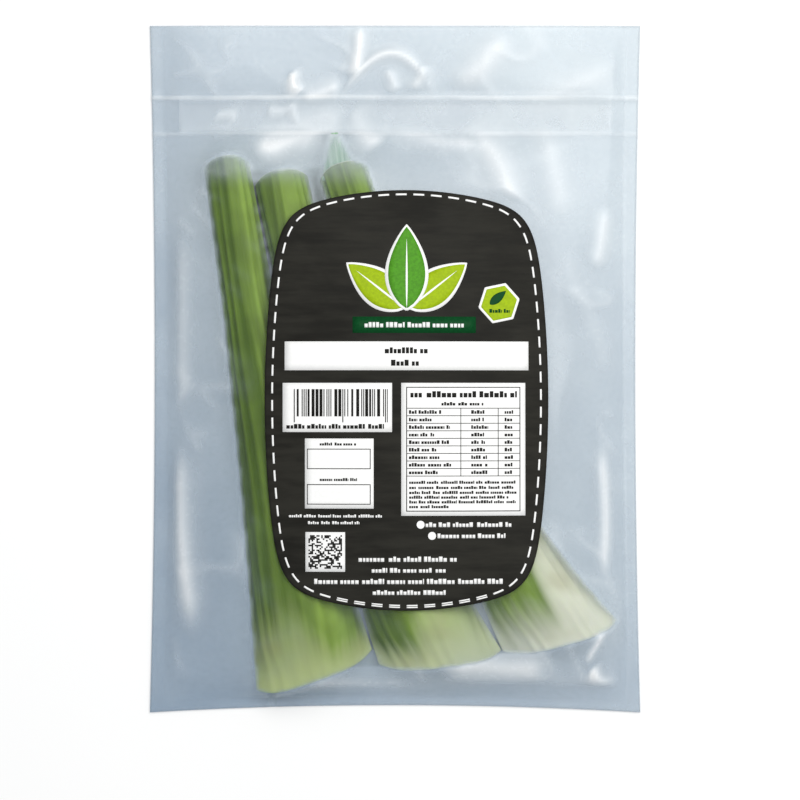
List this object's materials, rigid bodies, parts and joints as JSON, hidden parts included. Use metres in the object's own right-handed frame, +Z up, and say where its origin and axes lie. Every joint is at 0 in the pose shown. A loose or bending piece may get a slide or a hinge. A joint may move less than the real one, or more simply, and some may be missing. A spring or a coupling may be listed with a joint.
{
  "type": "pouch of celery stalks",
  "caption": "Press-to-close clear film pouch of cut celery stalks, lying on its back, with a dark round-cornered label stuck across its front.",
  "frame": {"origin": "centre of the pouch's underside, on the surface it lies on", "axes": "+Y from the bottom seal to the mouth, +Z up through the label, +X to the right as one faces the label"},
  "size_m": [0.2, 0.2801, 0.0223],
  "materials": {
    "celery": "ribbed green celery, paler and creamier towards the wide base, moist satin surface",
    "film": "hazy clear polythene film, creased and glossy",
    "zip": "clear polythene zip strip, thicker than the film",
    "label": null
  },
  "bodies": {
    "root": {"stalk_left": "celery", "stalk_middle": "celery", "stalk_right": "celery", "film_front": "film", "film_back": "film", "zip_strip_front": "zip", "zip_strip_back": "zip", "label": "label"}
  },
  "joints": []
}
